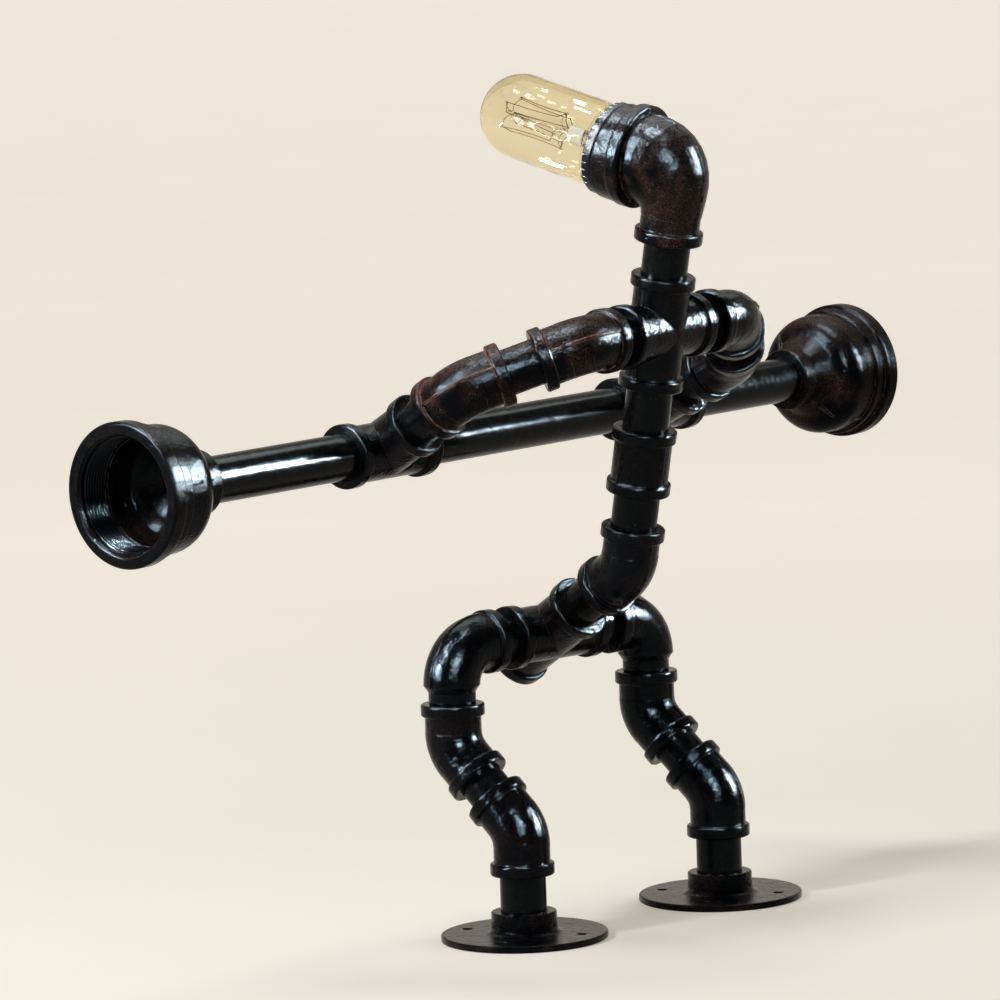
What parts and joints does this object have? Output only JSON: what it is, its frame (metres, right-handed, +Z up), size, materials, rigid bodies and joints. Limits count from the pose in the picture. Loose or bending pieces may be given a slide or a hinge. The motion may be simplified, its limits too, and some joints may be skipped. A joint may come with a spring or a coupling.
{
  "type": "robot-shaped pipe desk lamp",
  "caption": "Desk lamp built as a squatting robot from iron pipe fittings, with a bar across both hands, bell ends, flange feet and a bulb for a face.",
  "frame": {"origin": "on the table, midway between the centres of the two foot flanges", "axes": "+Z up; the figure looks towards -Y; its left hand is on the +X side"},
  "size_m": [0.6557, 0.2248, 0.4974],
  "materials": {
    "flange_iron": "gloss black lacquer",
    "pipe_iron": "gloss black lacquer over drawn steel pipe",
    "fitting_iron": "gloss black lacquer over lumpy malleable iron",
    "black_plastic": "satin",
    "lead": "satin",
    "bell_iron": "black lacquer rubbed through on the edges",
    "head_iron": "black lacquer rubbed through to brown",
    "collar": "dark blue-black, notched edge",
    "holder_plastic": "satin",
    "brass": "bright",
    "amber_glass": "clear amber",
    "clear_glass": "clear",
    "filament": "matt"
  },
  "bodies": {
    "body": {"left_foot_flange": "flange_iron", "right_foot_flange": "flange_iron", "left_shin_nipple": "pipe_iron", "right_shin_nipple": "pipe_iron", "left_ankle_elbow": "fitting_iron", "right_ankle_elbow": "fitting_iron", "left_calf_nipple": "pipe_iron", "right_calf_nipple": "pipe_iron", "left_knee_elbow": "fitting_iron", "right_knee_elbow": "fitting_iron", "left_hip_elbow": "fitting_iron", "right_hip_elbow": "fitting_iron", "left_hip_nipple": "pipe_iron", "right_hip_nipple": "pipe_iron", "pelvis_cross": "fitting_iron", "cable_bush": "black_plastic", "waist_nipple": "pipe_iron", "waist_elbow": "fitting_iron", "lower_torso_nipple": "pipe_iron", "torso_coupling": "fitting_iron", "upper_torso_nipple": "pipe_iron", "shoulder_cross": "fitting_iron", "neck_nipple": "pipe_iron", "body_lead": "lead", "left_shoulder_nipple": "pipe_iron", "left_shoulder_elbow": "fitting_iron", "left_upper_arm_nipple": "pipe_iron", "left_arm_elbow": "fitting_iron", "left_forearm_nipple": "pipe_iron", "left_hand_tee": "fitting_iron", "right_shoulder_nipple": "pipe_iron", "right_shoulder_elbow": "fitting_iron", "right_upper_arm_nipple": "pipe_iron", "right_arm_elbow": "fitting_iron", "right_forearm_nipple": "pipe_iron", "right_hand_tee": "fitting_iron", "bar_left_pipe": "pipe_iron", "bar_middle_pipe": "pipe_iron", "bar_right_pipe": "pipe_iron", "left_bell": "bell_iron", "right_bell": "bell_iron"},
    "head": {"head_elbow": "head_iron", "collar_ring": "collar", "lamp_holder": "holder_plastic", "holder_shell": "brass", "holder_contact": "brass", "holder_terminals": "brass", "head_lead": "lead"},
    "bulb": {"bulb_glass": "amber_glass", "bulb_cap": "brass", "bulb_contact": "black_plastic", "bulb_stem": "clear_glass", "bulb_filament": "filament"}
  },
  "joints": [
    {"name": "neck_swivel", "type": "hinge", "parent": "body", "child": "head", "pos_m": [0.01143, 0.06685, 0.40183], "axis": [0, 0.2113, 0.9774], "range_deg": [-60, 60]},
    {"name": "bulb_turn", "type": "hinge", "parent": "head", "child": "bulb", "pos_m": [0.02037, 0.0368, 0.45365], "axis": [0.2158, -0.9347, 0.2824], "range_deg": [0, 360]}
  ]
}
